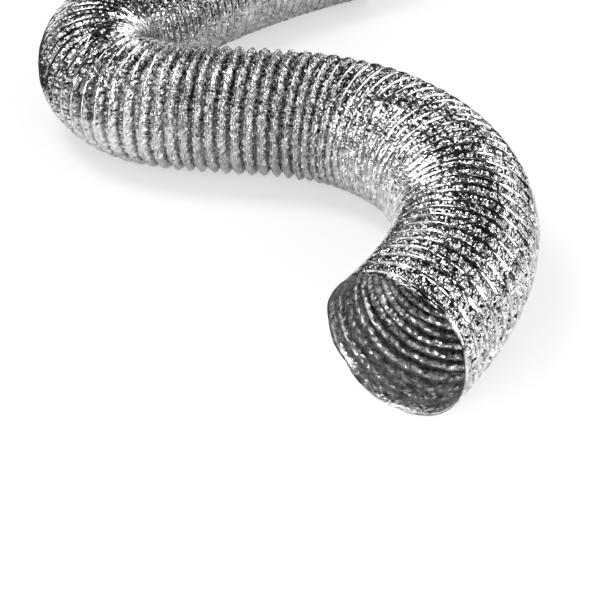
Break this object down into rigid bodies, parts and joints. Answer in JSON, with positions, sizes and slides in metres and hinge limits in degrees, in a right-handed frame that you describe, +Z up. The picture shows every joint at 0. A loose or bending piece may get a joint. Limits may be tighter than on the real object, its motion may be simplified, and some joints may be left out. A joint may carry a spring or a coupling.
{
  "type": "flexible air duct",
  "caption": "Flexible ventilation duct of crumpled metal foil pleated over a spring wire helix, open at both ends, bent in an S on the floor.",
  "frame": {"origin": "middle of the duct's outline seen from above, on the floor it lies on", "axes": "+Z up, +Y from the near mouth's end of the S towards the far end, +X to the right seen from the near mouth"},
  "size_m": [0.5983, 1.0509, 0.1545],
  "materials": {
    "outer_foil": "bright crumpled foil with fine creases",
    "spring_wire": "drawn bright spring wire",
    "inner_foil": "bright crumpled foil, duller inside"
  },
  "bodies": {
    "mouth": {"outer_foil_mouth": "outer_foil", "spring_wire_mouth": "spring_wire", "inner_foil_mouth": "inner_foil"},
    "near_bend_start": {"outer_foil_near_bend_start": "outer_foil", "spring_wire_near_bend_start": "spring_wire", "inner_foil_near_bend_start": "inner_foil", "outer_foil_pleats_1": "outer_foil", "spring_wire_pleats_1": "spring_wire", "inner_foil_pleats_1": "inner_foil"},
    "near_bend_middle": {"outer_foil_near_bend_middle": "outer_foil", "spring_wire_near_bend_middle": "spring_wire", "inner_foil_near_bend_middle": "inner_foil", "outer_foil_pleats_2": "outer_foil", "spring_wire_pleats_2": "spring_wire", "inner_foil_pleats_2": "inner_foil"},
    "near_bend_end": {"outer_foil_near_bend_end": "outer_foil", "spring_wire_near_bend_end": "spring_wire", "inner_foil_near_bend_end": "inner_foil", "outer_foil_pleats_3": "outer_foil", "spring_wire_pleats_3": "spring_wire", "inner_foil_pleats_3": "inner_foil"},
    "middle_run": {"outer_foil_middle_run": "outer_foil", "spring_wire_middle_run": "spring_wire", "inner_foil_middle_run": "inner_foil", "outer_foil_pleats_4": "outer_foil", "spring_wire_pleats_4": "spring_wire", "inner_foil_pleats_4": "inner_foil", "outer_foil_pleats_5": "outer_foil", "spring_wire_pleats_5": "spring_wire", "inner_foil_pleats_5": "inner_foil"},
    "far_bend_start": {"outer_foil_far_bend_start": "outer_foil", "spring_wire_far_bend_start": "spring_wire", "inner_foil_far_bend_start": "inner_foil", "outer_foil_pleats_6": "outer_foil", "spring_wire_pleats_6": "spring_wire", "inner_foil_pleats_6": "inner_foil"},
    "far_bend_end": {"outer_foil_far_bend_end": "outer_foil", "spring_wire_far_bend_end": "spring_wire", "inner_foil_far_bend_end": "inner_foil", "outer_foil_pleats_7": "outer_foil", "spring_wire_pleats_7": "spring_wire", "inner_foil_pleats_7": "inner_foil"},
    "tail_run": {"outer_foil_tail_run": "outer_foil", "spring_wire_tail_run": "spring_wire", "inner_foil_tail_run": "inner_foil", "outer_foil_pleats_8": "outer_foil", "spring_wire_pleats_8": "spring_wire", "inner_foil_pleats_8": "inner_foil"},
    "tail_end": {"outer_foil_tail_end": "outer_foil", "spring_wire_tail_end": "spring_wire", "inner_foil_tail_end": "inner_foil"}
  },
  "joints": [
    {"name": "mouth_stretch", "type": "slide", "parent": "near_bend_start", "child": "mouth", "axis": [-0.4108, -0.9117, 0], "range_m": [-0.035, 0.035], "deforming": ["outer_foil_pleats_1", "spring_wire_pleats_1", "inner_foil_pleats_1"]},
    {"name": "mouth_lift", "type": "hinge", "parent": "near_bend_middle", "child": "near_bend_start", "pos_m": [0.22033, -0.25028, 0.077], "axis": [-0.9934, -0.1149, 0], "range_deg": [0, 15], "deforming": ["outer_foil_pleats_2", "spring_wire_pleats_2", "inner_foil_pleats_2"]},
    {"name": "near_bend_turn", "type": "hinge", "parent": "near_bend_end", "child": "near_bend_middle", "pos_m": [0.16516, -0.13023, 0.077], "axis": [0, 0, -1], "range_deg": [-20, 10], "deforming": ["outer_foil_pleats_3", "spring_wire_pleats_3", "inner_foil_pleats_3"]},
    {"name": "near_bend_exit_turn", "type": "hinge", "parent": "middle_run", "child": "near_bend_end", "pos_m": [0.04508, -0.06479, 0.077], "axis": [0, 0, -1], "range_deg": [-20, 10], "deforming": ["outer_foil_pleats_4", "spring_wire_pleats_4", "inner_foil_pleats_4"]},
    {"name": "far_bend_entry_turn", "type": "hinge", "parent": "middle_run", "child": "far_bend_start", "pos_m": [-0.15908, -0.02465, 0.077], "axis": [0, 0, -1], "range_deg": [-20, 6], "deforming": ["outer_foil_pleats_5", "spring_wire_pleats_5", "inner_foil_pleats_5"]},
    {"name": "far_bend_turn", "type": "hinge", "parent": "far_bend_start", "child": "far_bend_end", "pos_m": [-0.22087, 0.06975, 0.077], "axis": [0, 0, -1], "range_deg": [-22, 5], "deforming": ["outer_foil_pleats_6", "spring_wire_pleats_6", "inner_foil_pleats_6"]},
    {"name": "far_bend_exit_turn", "type": "hinge", "parent": "far_bend_end", "child": "tail_run", "pos_m": [-0.185, 0.17787, 0.077], "axis": [0, 0, -1], "range_deg": [-15, 8], "deforming": ["outer_foil_pleats_7", "spring_wire_pleats_7", "inner_foil_pleats_7"]},
    {"name": "tail_stretch", "type": "slide", "parent": "tail_run", "child": "tail_end", "axis": [0.7553, 0.6553, 0], "range_m": [-0.03, 0.035], "deforming": ["outer_foil_pleats_8", "spring_wire_pleats_8", "inner_foil_pleats_8"]}
  ]
}
